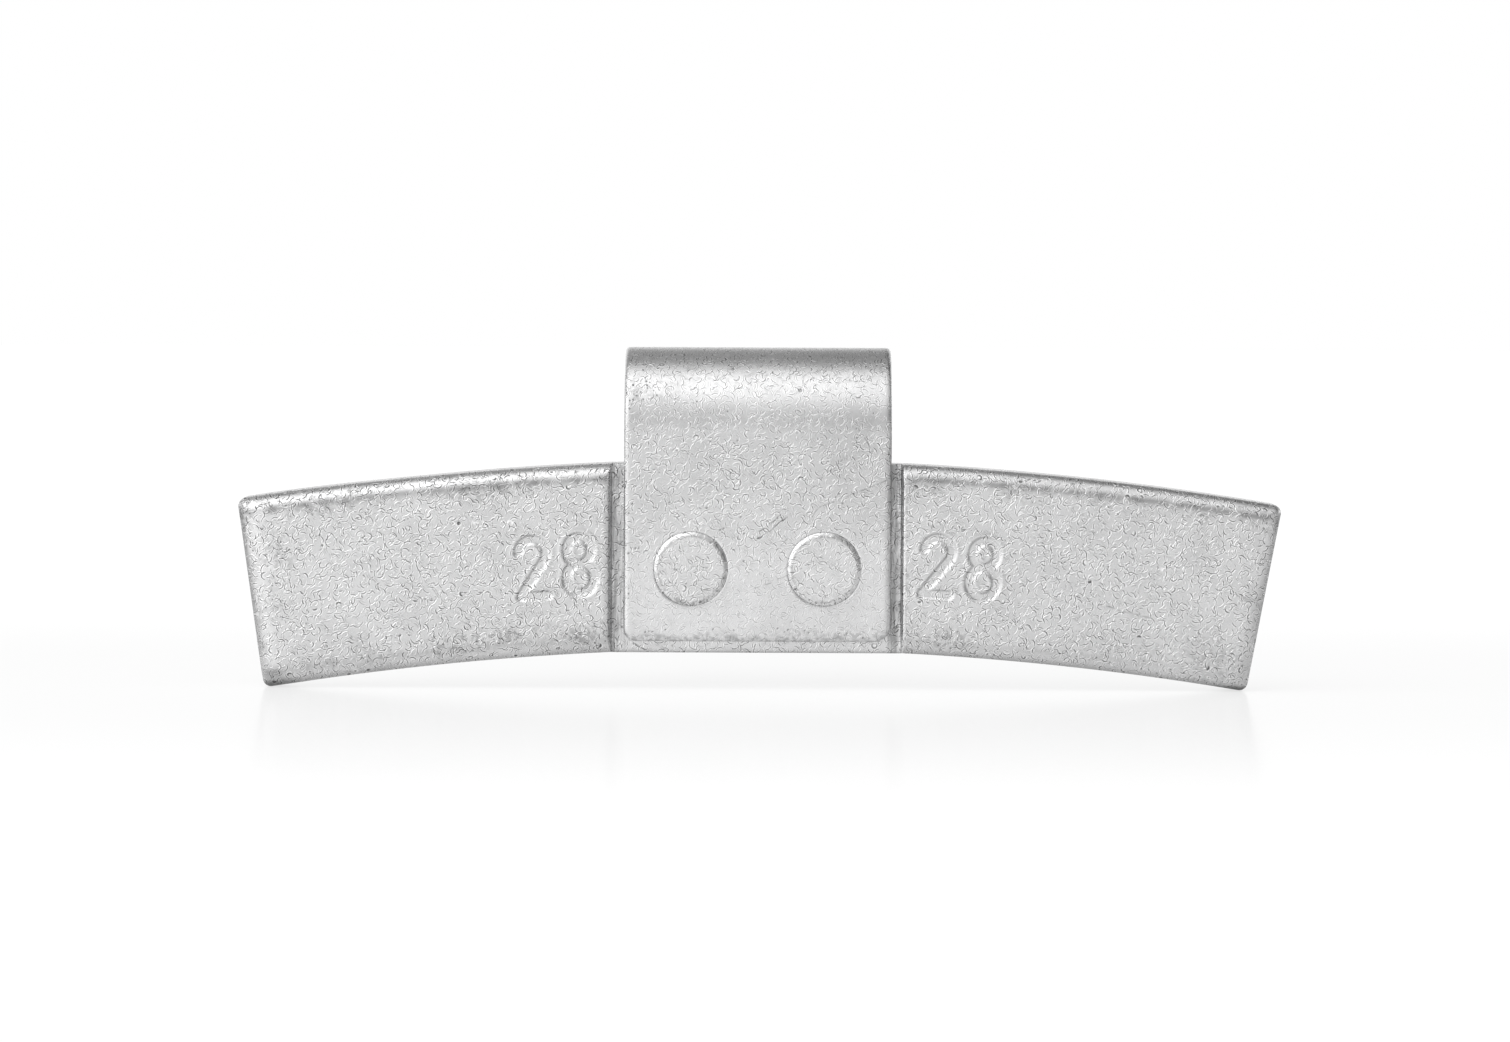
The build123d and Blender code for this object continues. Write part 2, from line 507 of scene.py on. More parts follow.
def bar_pits_and_shade(points):
    """How far the bar's coating is pitted, and how much painted shade darkens it: at its edges, its
    ends, its heads and figures.
    """
    x, y, z = points.T
    below_top = np.where(
        np.abs(x) < PAD_HALF, PAD_TOP - z, ARM_OUTER_RADIUS + end_lift(x) - np.hypot(x, z - AXLE_Z)
    )
    above_foot = BAR_HEIGHT - below_top
    flat = np.stack([x, 0 * y, z], -1)
    patch = wander(flat, 3.1, 1) + 0.6 * wander(flat, 1.1, 2)
    under_edge = hump(below_top, 1.35, 0.5)
    low_edge = hump(above_foot, 0.9, 0.9) * smooth(np.abs(x), 12, 20)
    left_end = hump(x, *LEFT_END_X) * smooth(above_foot, 2.5, 6)
    left_rim = hump(from_end_line(-1, x, z), 0.3, 0.3)
    right_rim = hump(from_end_line(1, x, z), 0.25, 0.25)
    right_corner = hump(x, *RIGHT_CORNER_X) * hump(above_foot, 0, 2.2)
    beside_pad = hump(np.abs(x), *BESIDE_PAD_X) * hump(above_foot, 1.1, 0.6)
    lower_left = hump(x, *LOWER_LEFT_X) * hump(above_foot, 1.5, 0.5)
    speckled = hump(x, *SPECKLED_X) * hump(z, *SPECKLED_Z)
    pitted = 0.75 * under_edge + 0.5 * (low_edge + left_end) + 0.9 * (right_corner + right_rim)
    pitted += 0.8 * (left_rim + beside_pad) + 0.7 * lower_left
    pitted = pitted * smooth(patch, -0.6, 0.9) + 0.22 * smooth(patch, 0.5, 1.6)
    pitted += 0.4 * speckled + 0.45 * right_corner + 0.6 * beside_pad * (x > 0) + 0.3 * lower_left

    # Painted shade: a ragged dark band under the top edge's highlight, shadow along the lower edge and
    # at the feet, patches on the right shoulder of the recess, a band above the left arm's lower edge,
    # and the lower left facet
    ragged = 0.75 + 0.5 * wander(flat, 0.7, 10)
    band = np.where(x < 0, 1.6, 1.5) * hump(below_top, np.where(x < 0, 0.96, 0.9), 0.24)
    dulled_and_painted_shade = band * ragged * (np.abs(x) > PAD_HALF + 0.3)
    dulled_and_painted_shade += 0.9 * hump(above_foot, 0, 0.2) + 1.5 * hump(z, FEET, 0.28)
    dulled_and_painted_shade += 0.85 * hump(x, BURR_X, 0.12) * smooth(wander(flat, 0.3, 18), -0.8, 0.6)
    dulled_and_painted_shade += 0.45 * hump(above_foot, 0.95, 0.3) * (x < -PAD_HALF) * ragged
    facet = smooth(FEET + FACET_HEIGHT - z, -0.05, 0.2) * smooth(-x, FACET_START, FACET_FULL)
    dulled_and_painted_shade += 1.1 * facet * ragged
    for stud_x, marked, shaded in ((-STUD_X, 0.95, 15.0), (STUD_X, 0.5, 35.0)):
        dx, dz = x - stud_x, z - STUD_Z
        from_rim = HEAD_RADIUS - np.hypot(dx, dz)
        turn = np.arctan2(dz, dx)
        head = (y < CLIP_FRONT + HEAD_SINK + 0.01) & (from_rim > -0.05)
        pitted = np.where(head, 0.1 + marked * smooth(-dz, 0.6, 1.9) * hump(from_rim, 0, 0.4), pitted)
        # Painted shade on each head: a dark crescent on the rim's side away from the light, and a thin
        # dark line inside the rim at the upper left
        crescent = smooth(np.cos(turn - radians(shaded)), 0.55, 0.95) * hump(from_rim, 0.11, 0.13)
        crescent *= 0.8 + 0.4 * wander(flat, 0.5, 14)
        inner_rim_shade = smooth(np.cos(turn - radians(140.0)), 0.1, 0.6)
        inner_rim_shade *= hump(from_rim, 0.27 + 0.03 * wander(flat, 0.25, 16), 0.055)
        dulled_and_painted_shade = np.where(head, 1.5 * crescent + 1.4 * inner_rim_shade, dulled_and_painted_shade)
    # Painted shade on the walls of the stamped figures that face away from the light
    shift = 0.05
    shaded_wall = stamp_drop(x + shift, z - shift) - stamp_drop(x - shift, z + shift)
    dulled_and_painted_shade += 0.9 * smooth(shaded_wall, 0.25 * FIGURE_DEPTH, 0.8 * FIGURE_DEPTH)
    return pitted, 0.62 * dulled_and_painted_shade * (y < BAR_FRONT + 1.4)


def make_bar():
    """The pressed bar: front and back skins, the sides between them, studs and punch marks."""
    sheet = Sheet()
    lines, rises = bar_lines(), rise_lines()
    x, z, a, b = bar_skin_places(lines, rises)
    depth = bar_front_depth(x, z, a, b)
    front = sheet.add(np.stack([x, BAR_FRONT + depth, z], -1))
    sheet.grid(front)

    def thin(values):
        """Keeps the lines that the back needs: all of them at its rolled edge, and few elsewhere."""
        near = np.minimum(np.abs(values - values[0]), np.abs(values - values[-1])) < 0.45
        keep = [0]
        for i in range(1, len(values) - 1):
            if near[i] or abs(values[i] - values[keep[-1]]) > BACK_STEP:
                keep.append(i)
        return keep + [len(values) - 1]

    rows, columns = thin(lines), thin(rises)
    xb, zb, ab, bb = bar_skin_places(lines[rows], rises[columns])
    back_y = BAR_BACK - rolled_drop(edge_distance(ab, bb, CORNER_RADIUS), BACK_EDGE)
    back = sheet.add(np.stack([xb, back_y, zb], -1))

    # Punch marks in the back, each in a block of the grid
    hole = np.zeros((len(rows) - 1, len(columns) - 1), bool)
    for side in (-1, 1):
        block = cut_block(hole, lines[rows], zb[len(rows) // 2], side * STUD_X, STUD_Z, PUNCH_BLOCK)
        ring = outline_ring(back[block])
        ux, uz, reach = hole_rays(xb[block], zb[block], side * STUD_X, STUD_Z)
        profile = [(reach * (1 - share) + PUNCH_RIM * share, 0) for share in (0.25, 0.5, 0.75, 1.0)]
        profile += [(STUD_RADIUS + 0.12, 0.03), (STUD_RADIUS + 0.03, 0.1), (STUD_RADIUS, 0.22)]
        profile += [(STUD_RADIUS - 0.03, 0.7), (STUD_RADIUS - 0.06, PUNCH_DEPTH - 0.1)]
        profile += [(STUD_RADIUS - 0.14, PUNCH_DEPTH - 0.02)]
        profile += [(STUD_RADIUS * k / 8, PUNCH_DEPTH) for k in range(7, 0, -1)]
        for radius, sunk in profile:
            r = 0 * reach + radius
            spot = np.stack([side * STUD_X + ux * r, BAR_BACK - sunk + 0 * r, STUD_Z + uz * r], -1)
            ring = sheet.follow(ring, spot)
        sheet.faces.append(ring.tolist())
    sheet.grid(back, hole)

    # Sides, in rows from the front's rim to the back's
    ring = outline_ring(front)
    ring_x, ring_y, ring_z = outline_ring(x), outline_ring(BAR_FRONT + depth), outline_ring(z)
    for share in np.linspace(0, 1, 8)[1:-1]:
        y = ring_y * (1 - share) + (BAR_BACK - BACK_EDGE) * share
        ring = sheet.follow(ring, np.stack([ring_x, y, ring_z], -1))
    kept = list(zip(ring_places(rows, columns, front.shape), outline_ring(back).tolist()))
    sheet.step_band(ring.tolist(), kept)

    for side in (-1, 1):
        add_stud(sheet, side * STUD_X)
    return sheet.build("coated_bar", bar_low, bar_high, bar_pits_and_shade)


def add_stud(sheet, stud_x):
    """A headed rivet stud: a low flat head with a rolled rim, its cone and its shank in the pad."""
    front = bar_low[1]
    drop = HEAD_RISE + HEAD_SINK
    flat = HEAD_RADIUS - HEAD_RIM
    profile = [(flat * k / 12, front) for k in range(1, 12)]
    profile += [(flat - 0.07, front), (flat - 0.03, front), (flat + 0.01, front + 0.035)]
    for t in np.linspace(0.15, 1, 9):
        profile.append((flat + HEAD_RIM * t, front + 0.04 + (drop - 0.04) * t**1.5))
    seat = CLIP_FRONT + HEAD_SINK
    profile += [(HEAD_RADIUS, seat + 0.02), (STUD_RADIUS, seat + HEAD_RADIUS - STUD_RADIUS)]
    profile += [(STUD_RADIUS, PAD_FRONT + 0.3)]
    turn = np.linspace(0, 2 * pi, 180, endpoint=False)
    ring = None
    for radius, y in profile:
        spot = np.stack([stud_x + radius * np.cos(turn), 0 * turn, STUD_Z + radius * np.sin(turn)], -1)
        on_head = y < seat + 0.01
        outer = smooth(radius, flat - 0.3, flat + 0.2) * on_head
        low_side = smooth(-np.sin(turn), -0.3, 0.9)
        crumble = smooth(wander(spot, 0.3, 8), 0.0, 1.1) * (0.3 + 0.7 * low_side) * outer
        dish = 0.012 * (1 + wander(spot, 1.3, 9)) * on_head + 0.06 * crumble
        spot[:, 1] = np.minimum(y + dish, max(y, seat))
        crinkle = 0.05 * wander(spot, 0.28, 15) * hump(radius, flat, 0.16) * on_head
        crinkle = crinkle - 0.06 * crumble * (radius < HEAD_RADIUS - 0.01)
        spot[:, 0] += crinkle * np.cos(turn)
        spot[:, 2] += crinkle * np.sin(turn)
        if ring is None:
            ring = sheet.add(spot)
            sheet.faces.append(ring.tolist())
        else:
            ring = sheet.follow(ring, spot)
    sheet.faces.append(ring.tolist())


# Clip

STRIP_RUNS = [
    (BEND_BASE - CLIP_END, 0.0),
    (BEND_MID * (pi + HOOK_LEAN), -(pi + HOOK_LEAN)),
    (HOOK_LEG, 0.0),
    (CURL_RADIUS * CURL_ANGLE, CURL_ANGLE),
    (HOOK_TIP, 0.0),
]
STRIP_LENGTH = sum(length for length, turn in STRIP_RUNS)


def bend_strip(x, s, h):
    """Bends a place on the flat strip: across it, along it from its lower end, out of its middle."""
    y, z = np.zeros(s.shape), np.zeros(s.shape)
    start, heading, begin = np.array([CLIP_FRONT + STRIP / 2, CLIP_END]), pi / 2, 0.0
    for length, turn in STRIP_RUNS:
        part = s >= begin - 1e-9
        u = s[part] - begin
        if turn:
            rate = turn / length
            angle = heading + rate * u
            along = np.stack([np.sin(angle) - sin(heading), cos(heading) - np.cos(angle)]) / rate
            end = heading + turn
            end = np.array([sin(end) - sin(heading), cos(heading) - cos(end)]) / rate
        else:
            angle = heading + 0 * u
            along = np.stack([cos(heading) * u, sin(heading) * u])
            end = np.array([cos(heading), sin(heading)]) * length
        y[part] = start[0] + along[0] - h[part] * np.sin(angle)
        z[part] = start[1] + along[1] + h[part] * np.cos(angle)
        start, heading, begin = start + end, heading + turn, begin + length
    return np.stack([x, y, z], -1)


def clip_skin_places(across, along):
    """Places on the flat strip of a grid over it, with its four corners turned, and edge distances."""
    x, s = np.meshgrid(across, along, indexing="ij")
    left, low = x < 0, s < STRIP_LENGTH / 2
    radius = np.where(low, np.where(left, CLIP_LEFT_CORNER, CLIP_RIGHT_CORNER), HOOK_CORNER)
    a, b = round_corner(CLIP_HALF - np.abs(x), np.where(low, s, STRIP_LENGTH - s), radius)
    x = np.where(left, a - CLIP_HALF, CLIP_HALF - a)
    s = np.where(low, b, STRIP_LENGTH - b)
    return x, s, edge_distance(a, b, radius)


def make_clip():
    """The spring clip: outer and inner skins of the bent strip, with its two countersunk holes."""
    sheet = Sheet()
    low = rolled_lines(CLIP_EDGE, 6)
    flat_across = np.linspace(CLIP_EDGE - CLIP_HALF, CLIP_HALF - CLIP_EDGE, 93)
    flat_along = np.linspace(CLIP_EDGE, STRIP_LENGTH - CLIP_EDGE, 185)
    across = np.concatenate([low - CLIP_HALF, flat_across, (CLIP_HALF - low)[::-1]])
    along = np.concatenate([low, flat_along, (STRIP_LENGTH - low)[::-1]])
    x, s, edge = clip_skin_places(across, along)
    outer = sheet.add(bend_strip(x, s, STRIP / 2 - rolled_drop(edge, CLIP_EDGE)))
    inner = sheet.add(bend_strip(x, s, rolled_drop(edge, CLIP_INNER_EDGE) - STRIP / 2))
    hole = np.zeros((len(across) - 1, len(along) - 1), bool)
    for side in (-1, 1):
        block = cut_block(hole, across, along, side * STUD_X, STUD_RISE, HOLE_BLOCK)
        ux, us, reach = hole_rays(x[block], s[block], side * STUD_X, STUD_RISE)

        def hole_ring(ring, r, h):
            """Adds a ring round the hole, joined to the ring before it."""
            return sheet.follow(ring, bend_strip(side * STUD_X + ux * r, STUD_RISE + us * r, 0 * r + h))

        mouths = []
        for skin, radius, h in (
            (outer, MOUTH_RADIUS + 0.025, STRIP / 2), (inner, STUD_RADIUS + HOLE_GAP, -STRIP / 2)
        ):
            ring = outline_ring(skin[block])
            for share in (0.25, 0.5, 0.75, 0.9, 1.0):
                ring = hole_ring(ring, reach * (1 - share) + radius * share, h)
            mouths.append(ring)
        ring, seat = mouths[0], STRIP / 2 - HEAD_SINK - 0.03
        ring = hole_ring(ring, 0 * reach + MOUTH_RADIUS, STRIP / 2 - 0.02)
        ring = hole_ring(ring, 0 * reach + MOUTH_RADIUS, seat)
        ring = hole_ring(ring, 0 * reach + STUD_RADIUS + HOLE_GAP, seat - HEAD_RADIUS + STUD_RADIUS)
        sheet.band(ring, mouths[1])
    sheet.grid(outer, hole)
    sheet.grid(inner, hole)
    ring, ring_x, ring_s = outline_ring(outer), outline_ring(x), outline_ring(s)
    for share in (0.33, 0.66):
        h = (STRIP / 2 - CLIP_EDGE) * (1 - share) - (STRIP / 2 - CLIP_INNER_EDGE) * share
        ring = sheet.follow(ring, bend_strip(ring_x, ring_s, 0 * ring_x + h))
    sheet.band(ring, outline_ring(inner))
    return sheet.build("coated_clip", clip_low, clip_high, clip_pits_and_shade)


def clip_pits_and_shade(points):
    """How far the clip's coating is pitted, at the upper left and the edges, and how much it is
    darkened: towards the lower right, and by painted shadow by the heads.
    """
    x, y, z = points.T
    patch = wander(points, 3.4, 3) + 0.6 * wander(points, 1.2, 4)
    low_edge = 0.8 * hump(z, CLIP_END + 0.5, 0.25)
    sides = 0.45 * np.exp((np.abs(x) - CLIP_HALF) / 0.35)
    upper_left = 0.7 * hump(x, -7.5, 2.2) * hump(z, -1.9, 0.9)
    pitted = (low_edge + sides + upper_left) * smooth(patch, -0.6, 0.8) + 0.12 * smooth(patch, 0.4, 1.4)
    # Darker towards the lower right, and painted shadow on the clip just outside each head, below it
    # and to its right
    dulled_and_painted_shade = 0.18 * smooth(x, 1.0, 6.0) * smooth(z, -12.5, -8.0) * smooth(patch, -1.5, 1.0)
    for stud_x in (-STUD_X, STUD_X):
        dx, dz = x - stud_x, z - STUD_Z
        outside = np.hypot(dx, dz) - HEAD_RADIUS
        under = smooth(-dz + 0.4 * dx, 0.5, 2.2) * (outside > -0.1) * (y < CLIP_FRONT + 0.1)
        dulled_and_painted_shade += 0.34 * under * hump(np.maximum(outside, 0), 0, 0.2)
    return pitted, dulled_and_painted_shade


# Materials

class Value:
    """A number in a node tree, which can be added, multiplied and so on like a plain one."""

    def __init__(self, graph, socket):
        self.graph = graph
        self.socket = socket

    def __add__(self, other):
        return self.graph.math("ADD", self, other)

    def __sub__(self, other):
        return self.graph.math("SUBTRACT", self, other)

    def __rsub__(self, other):
        return self.graph.math("SUBTRACT", other, self)

    def __mul__(self, other):
        return self.graph.math("MULTIPLY", self, other)

    def __truediv__(self, other):
        return self.graph.math("DIVIDE", self, other)

    def __abs__(self):
        return self.graph.math("ABSOLUTE", self)

    __radd__ = __add__
    __rmul__ = __mul__


class Graph:
    """A node tree, with short ways to add nodes to it."""

    def __init__(self, tree):
        self.tree = tree

    def feed(self, socket, value):
        """Links a socket to another one, or sets it to a plain value."""
        if isinstance(value, Value):
            value = value.socket
        if isinstance(value, bpy.types.NodeSocket):
            self.tree.links.new(value, socket)
        else:
            socket.default_value = value

    def add(self, kind, *values, **settings):
        """A new node with its settings, and with values for its first inputs."""
        node = self.tree.nodes.new(kind)
        for key, value in settings.items():
            setattr(node, key, value)
        for socket, value in zip(node.inputs, values):
            self.feed(socket, value)
        return node

    def result(self, socket):
        """What comes out of a node: a Value where it is a single number, or else the socket."""
        return Value(self, socket) if socket.type == "VALUE" else socket

    def math(self, operation, *values):
        return self.result(self.add("ShaderNodeMath", *values, operation=operation).outputs[0])

    def most(self, first, *others):
        """The highest of several values."""
        for other in others:
            first = self.math("MAXIMUM", first, other)
        return first

    def clamp(self, value, low=0.0, high=1.0):
        """A value held between two limits."""
        return self.math("MINIMUM", self.math("MAXIMUM", value, low), high)

    def vector(self, operation, *values):
        node = self.add("ShaderNodeVectorMath", *values, operation=operation)
        single = operation in ("DOT_PRODUCT", "DISTANCE")
        return self.result(node.outputs["Value" if single else "Vector"])

    def scaled(self, vector, factor):
        """A vector times a single value."""
        node = self.add("ShaderNodeVectorMath", vector, operation="SCALE")
        self.feed(node.inputs["Scale"], factor)
        return node.outputs["Vector"]

    def parts(self, vector):
        """The three parts of a vector."""
        return [self.result(part) for part in self.add("ShaderNodeSeparateXYZ", vector).outputs]

    def fade(self, value, low, high, from_level=0.0, to_level=1.0):
        """Eases from one level at low to the other at high."""
        levels = (value, low, high, from_level, to_level)
        node = self.add("ShaderNodeMapRange", *levels, interpolation_type="SMOOTHSTEP")
        return self.result(node.outputs["Result"])

    def noise(self, place, scale, detail=2.0, output="Fac"):
        """Smooth noise about 0.5, with so many bumps to the millimetre."""
        node = self.add("ShaderNodeTexNoise", place)
        self.feed(node.inputs["Scale"], scale)
        self.feed(node.inputs["Detail"], detail)
        return self.result(node.outputs[output])

    def cells(self, place):
        """Distance, colour and place of the nearest of randomly strewn points, one to a unit cube."""
        node = self.add("ShaderNodeTexVoronoi", place, feature="F1")
        self.feed(node.inputs["Scale"], 1.0)
        return [self.result(node.outputs[name]) for name in ("Distance", "Color", "Position")]

    def use(self, tree, **values):
        """The outputs of a group that is fed by the names of its inputs."""
        node = self.add("ShaderNodeGroup", node_tree=tree)
        for name, value in values.items():
            self.feed(node.inputs[name], value)
        return [self.result(socket) for socket in node.outputs]

    def place(self):
        """The place on the object, in millimetres."""
        return self.scaled(self.add("ShaderNodeTexCoord").outputs["Object"], 1 / MM)

    def blend(self, share, first, second):
        """One shader that gives way to another by a share."""
        return self.add("ShaderNodeMixShader", share, first, second).outputs[0]


SOCKET_KINDS = {"Color": "Color", **dict.fromkeys(("Place", "Start", "End", "Spot"), "Vector")}


def make_group(name, inputs, outputs, fill):
    """A node group with named inputs and outputs.

    fill gets the group's graph and what comes in, and returns what goes out.
    """
    tree = bpy.data.node_groups.new(name, "ShaderNodeTree")
    for labels, direction in ((inputs, "INPUT"), (outputs, "OUTPUT")):
        for label in labels:
            kind = "NodeSocket" + SOCKET_KINDS.get(label, "Float")
            tree.interface.new_socket(name=label, in_out=direction, socket_type=kind)
    graph = Graph(tree)
    entry = graph.add("NodeGroupInput")
    incoming = [graph.result(entry.outputs[label]) for label in inputs]
    graph.add("NodeGroupOutput", *fill(graph, *incoming))
    return tree


WRINKLE_LEAN = (0.4, 0.0, -0.4)
MIDDLE_GREY = (0.5, 0.5, 0.5)


def fill_wrinkles(graph, place, density, width, curl):
    """Short curled wrinkles: in each cell, a bent line in a random direction in the front's plane."""
    spot = graph.scaled(place, density)
    distance, colour, centre = graph.cells(spot)
    offset = graph.vector("SUBTRACT", spot, centre)
    chance = graph.vector("MULTIPLY", graph.vector("SUBTRACT", colour, MIDDLE_GREY), (1.0, 0.3, 1.0))
    lean = graph.scaled(WRINKLE_LEAN, graph.vector("DOT_PRODUCT", chance, WRINKLE_LEAN))
    direction = graph.vector("NORMALIZE", graph.vector("ADD", chance, lean))
    bend = graph.vector("DOT_PRODUCT", offset, offset) * curl
    line = abs(graph.vector("DOT_PRODUCT", offset, direction) + bend)
    reach = width * density
    crest = 1.6 * graph.fade(line, reach, 0.0)
    flanks = 0.64 * graph.fade(line, 2.4 * reach, 0.0)
    return [(crest - flanks) * graph.fade(distance, 0.62, 0.3)]


def fill_dots(graph, place, density, radius, share):
    """Small round dots in a share of the cells."""
    distance, colour, centre = graph.cells(graph.scaled(place, density))
    first, second = graph.parts(colour)[:2]
    size = radius * density * graph.fade(second, 0, 1, 0.5, 1)
    return [graph.fade(distance, size, 0.3 * size) * graph.math("LESS_THAN", first, share)]


def fill_scratch(graph, place, start, end, width):
    """A thin line between two places."""
    from_start = graph.vector("SUBTRACT", place, start)
    span = graph.vector("SUBTRACT", end, start)
    along = graph.vector("DOT_PRODUCT", from_start, span) / graph.vector("DOT_PRODUCT", span, span)
    nearest = graph.scaled(span, graph.clamp(along))
    return [graph.fade(graph.vector("DISTANCE", from_start, nearest), width, 0.0)]


def fill_waver(graph, place):
    """A place that strays a little, and the noise that breaks a scratch up."""
    stray = graph.vector("SUBTRACT", graph.noise(place, 1.3, output="Color"), MIDDLE_GREY)
    return [graph.vector("ADD", place, graph.scaled(stray, 0.35)), graph.noise(place, 2.1)]


def fill_streaks(graph, place, width, length):
    """Streaks that run up and down."""
    x, y, z = graph.parts(place)
    squeezed = graph.add("ShaderNodeCombineXYZ", x / width, y / width, z / length).outputs[0]
    return [graph.fade(graph.noise(squeezed, 1.0, 3.0), 0.38, 0.62)]


def coating_filler(wrinkles, dots):
    """Fills the zinc flake coating's group, with the groups for its wrinkles and its pits."""

    def fill(graph, place, grey, roughness, wrinkling, pitted, dulled_and_painted_shade, dark, raised):
        def wrinkle(spot, density, width, curl):
            """One layer of wrinkles."""
            return graph.use(wrinkles, Place=spot, Density=density, Width=width, Curl=curl)[0]

        shifted = graph.vector("ADD", place, (31.7, 11.3, 57.9))
        turned = graph.vector("ADD", place, (-13.1, 47.7, 23.3))
        swapped = graph.vector("ADD", place, (83.9, -29.1, -71.7))
        large = wrinkle(place, 1.8, 0.048, 0.6)
        middle = wrinkle(shifted, 1.9, 0.046, -0.8)
        small = wrinkle(turned, 2.5, 0.04, 1.0)
        sharp = wrinkle(swapped, 2.2, 0.04, -0.6)
        pits = graph.use(dots, Place=place, Density=4.6, Radius=0.1, Share=0.8 * pitted + 0.02)[0]
        specks = graph.use(dots, Place=shifted, Density=1.9, Radius=0.08, Share=0.14)[0]
        grain, swell = graph.noise(place, 9.0), graph.noise(place, 1.1)
        relief = 0.016 * large - 0.0155 * middle + 0.013 * (small - sharp) + 0.007 * grain
        height = relief * wrinkling + 0.011 * swell + 0.035 * specks - 0.03 * pits + raised

        # Painted light and shade along the wrinkles: some of their lines lighter, the others darker
        painted_wrinkle_shading = graph.clamp(0.54 * wrinkling * (large + small - 2.0 * (middle + sharp)), -0.8, 0.33)
        clouds = graph.fade(graph.noise(place, 0.4, 4.0), 0.3, 0.7, 0.96, 1.04)
        mottled = graph.fade(graph.noise(place, 3.6, 3.0), 0.46, 0.58) * pitted
        # The tone takes in the painted wrinkle shading, the dark marks with their painted shade, and
        # the painted shade layer, beside the pits and mottling of the coating
        tone = grey * clouds * (1.0 + painted_wrinkle_shading) * (1.0 - dark)
        tone = tone * (1.0 - 0.5 * pits) * (1.0 - 0.36 * mottled) * (1.0 - 0.45 * dulled_and_painted_shade)
        colour = graph.add("ShaderNodeCombineColor", tone, tone, 1.004 * tone).outputs[0]
        varied = graph.fade(graph.noise(place, 2.3, 3.0), 0.3, 0.7, -0.04, 0.04)
        return colour, roughness + varied + 0.2 * (pits + dark), height

    return fill


def make_groups():
    """The node groups that both finishes share."""
    line = ("Place", "Density", "Width", "Curl")
    wrinkles = make_group("curled_wrinkles", line, ("Ridge",), fill_wrinkles)
    dots = make_group("strewn_dots", ("Place", "Density", "Radius", "Share"), ("Dot",), fill_dots)
    looks = ("Place", "Grey", "Roughness", "Wrinkling", "Pitted", "Dulled", "Dark", "Raised")
    finish = ("Color", "Roughness", "Height")
    stretch = ("Place", "Width", "Length")
    return {
        "waver": make_group("scratch_waver", ("Place",), ("Spot", "Breaks"), fill_waver),
        "scratch": make_group("scratch", ("Place", "Start", "End", "Width"), ("Line",), fill_scratch),
        "streaks": make_group("upright_streaks", stretch, ("Streak",), fill_streaks),
        "coating": make_group("zinc_flake_coating", looks, finish, coating_filler(wrinkles, dots)),
    }


def on_front(y, *corners):
    """Runs between corners given as (x, z) places on a front at y."""
    spots = [(x, y, z) for x, z in corners]
    return list(zip(spots[:-1], spots[1:]))


def add_scratches(graph, groups, place, runs, gaps=(0.36, 0.5)):
    """A mask of broken, wavering lines, each a list of runs with a half width and a strength."""
    spot, breaks = graph.use(groups["waver"], Place=place)
    mask = 0.0
    for stretches, width, strength in runs:
        for start, end in stretches:
            line = graph.use(groups["scratch"], Place=spot, Start=start, End=end, Width=width)[0]
            mask = graph.most(strength * line, mask)
    return mask * graph.fade(breaks, *gaps)


COATING_ROUGHNESS = 0.27
BAR_GREY = 0.75
CLIP_GREY = 0.73


def make_coating(name, groups, marks):
    """A satin metal material: the zinc flake coating with one piece's own marks.

    marks gets the graph, the groups and the place in millimetres, and returns the grey with any painted
    light, the strength of the wrinkles, a mask of dark marks and painted shade, and how far they stand
    up.
    """
    material = bpy.data.materials.new(name)
    material.use_nodes = True
    graph = Graph(material.node_tree)
    shader = material.node_tree.nodes["Principled BSDF"]
    shader.inputs["Metallic"].default_value = 1.0
    place = graph.place()
    grey, wrinkling, dark, raised = marks(graph, groups, place)
    pitted = graph.add("ShaderNodeAttribute", attribute_name="pitted").outputs["Fac"]
    dulled_and_painted_shade = graph.add("ShaderNodeAttribute", attribute_name="dulled_and_painted_shade").outputs["Fac"]
    colour, roughness, height = graph.use(
        groups["coating"], Place=place, Grey=grey, Roughness=COATING_ROUGHNESS, Wrinkling=wrinkling,
        Pitted=pitted, Dulled=dulled_and_painted_shade, Dark=dark, Raised=raised,
    )
    bump = graph.add("ShaderNodeBump")
    bump.inputs["Strength"].default_value = 1.0
    bump.inputs["Distance"].default_value = MM
    graph.feed(bump.inputs["Height"], height)
    graph.feed(shader.inputs["Normal"], bump.outputs["Normal"])
    graph.feed(shader.inputs["Base Color"], colour)
    graph.feed(shader.inputs["Roughness"], roughness)
    return material


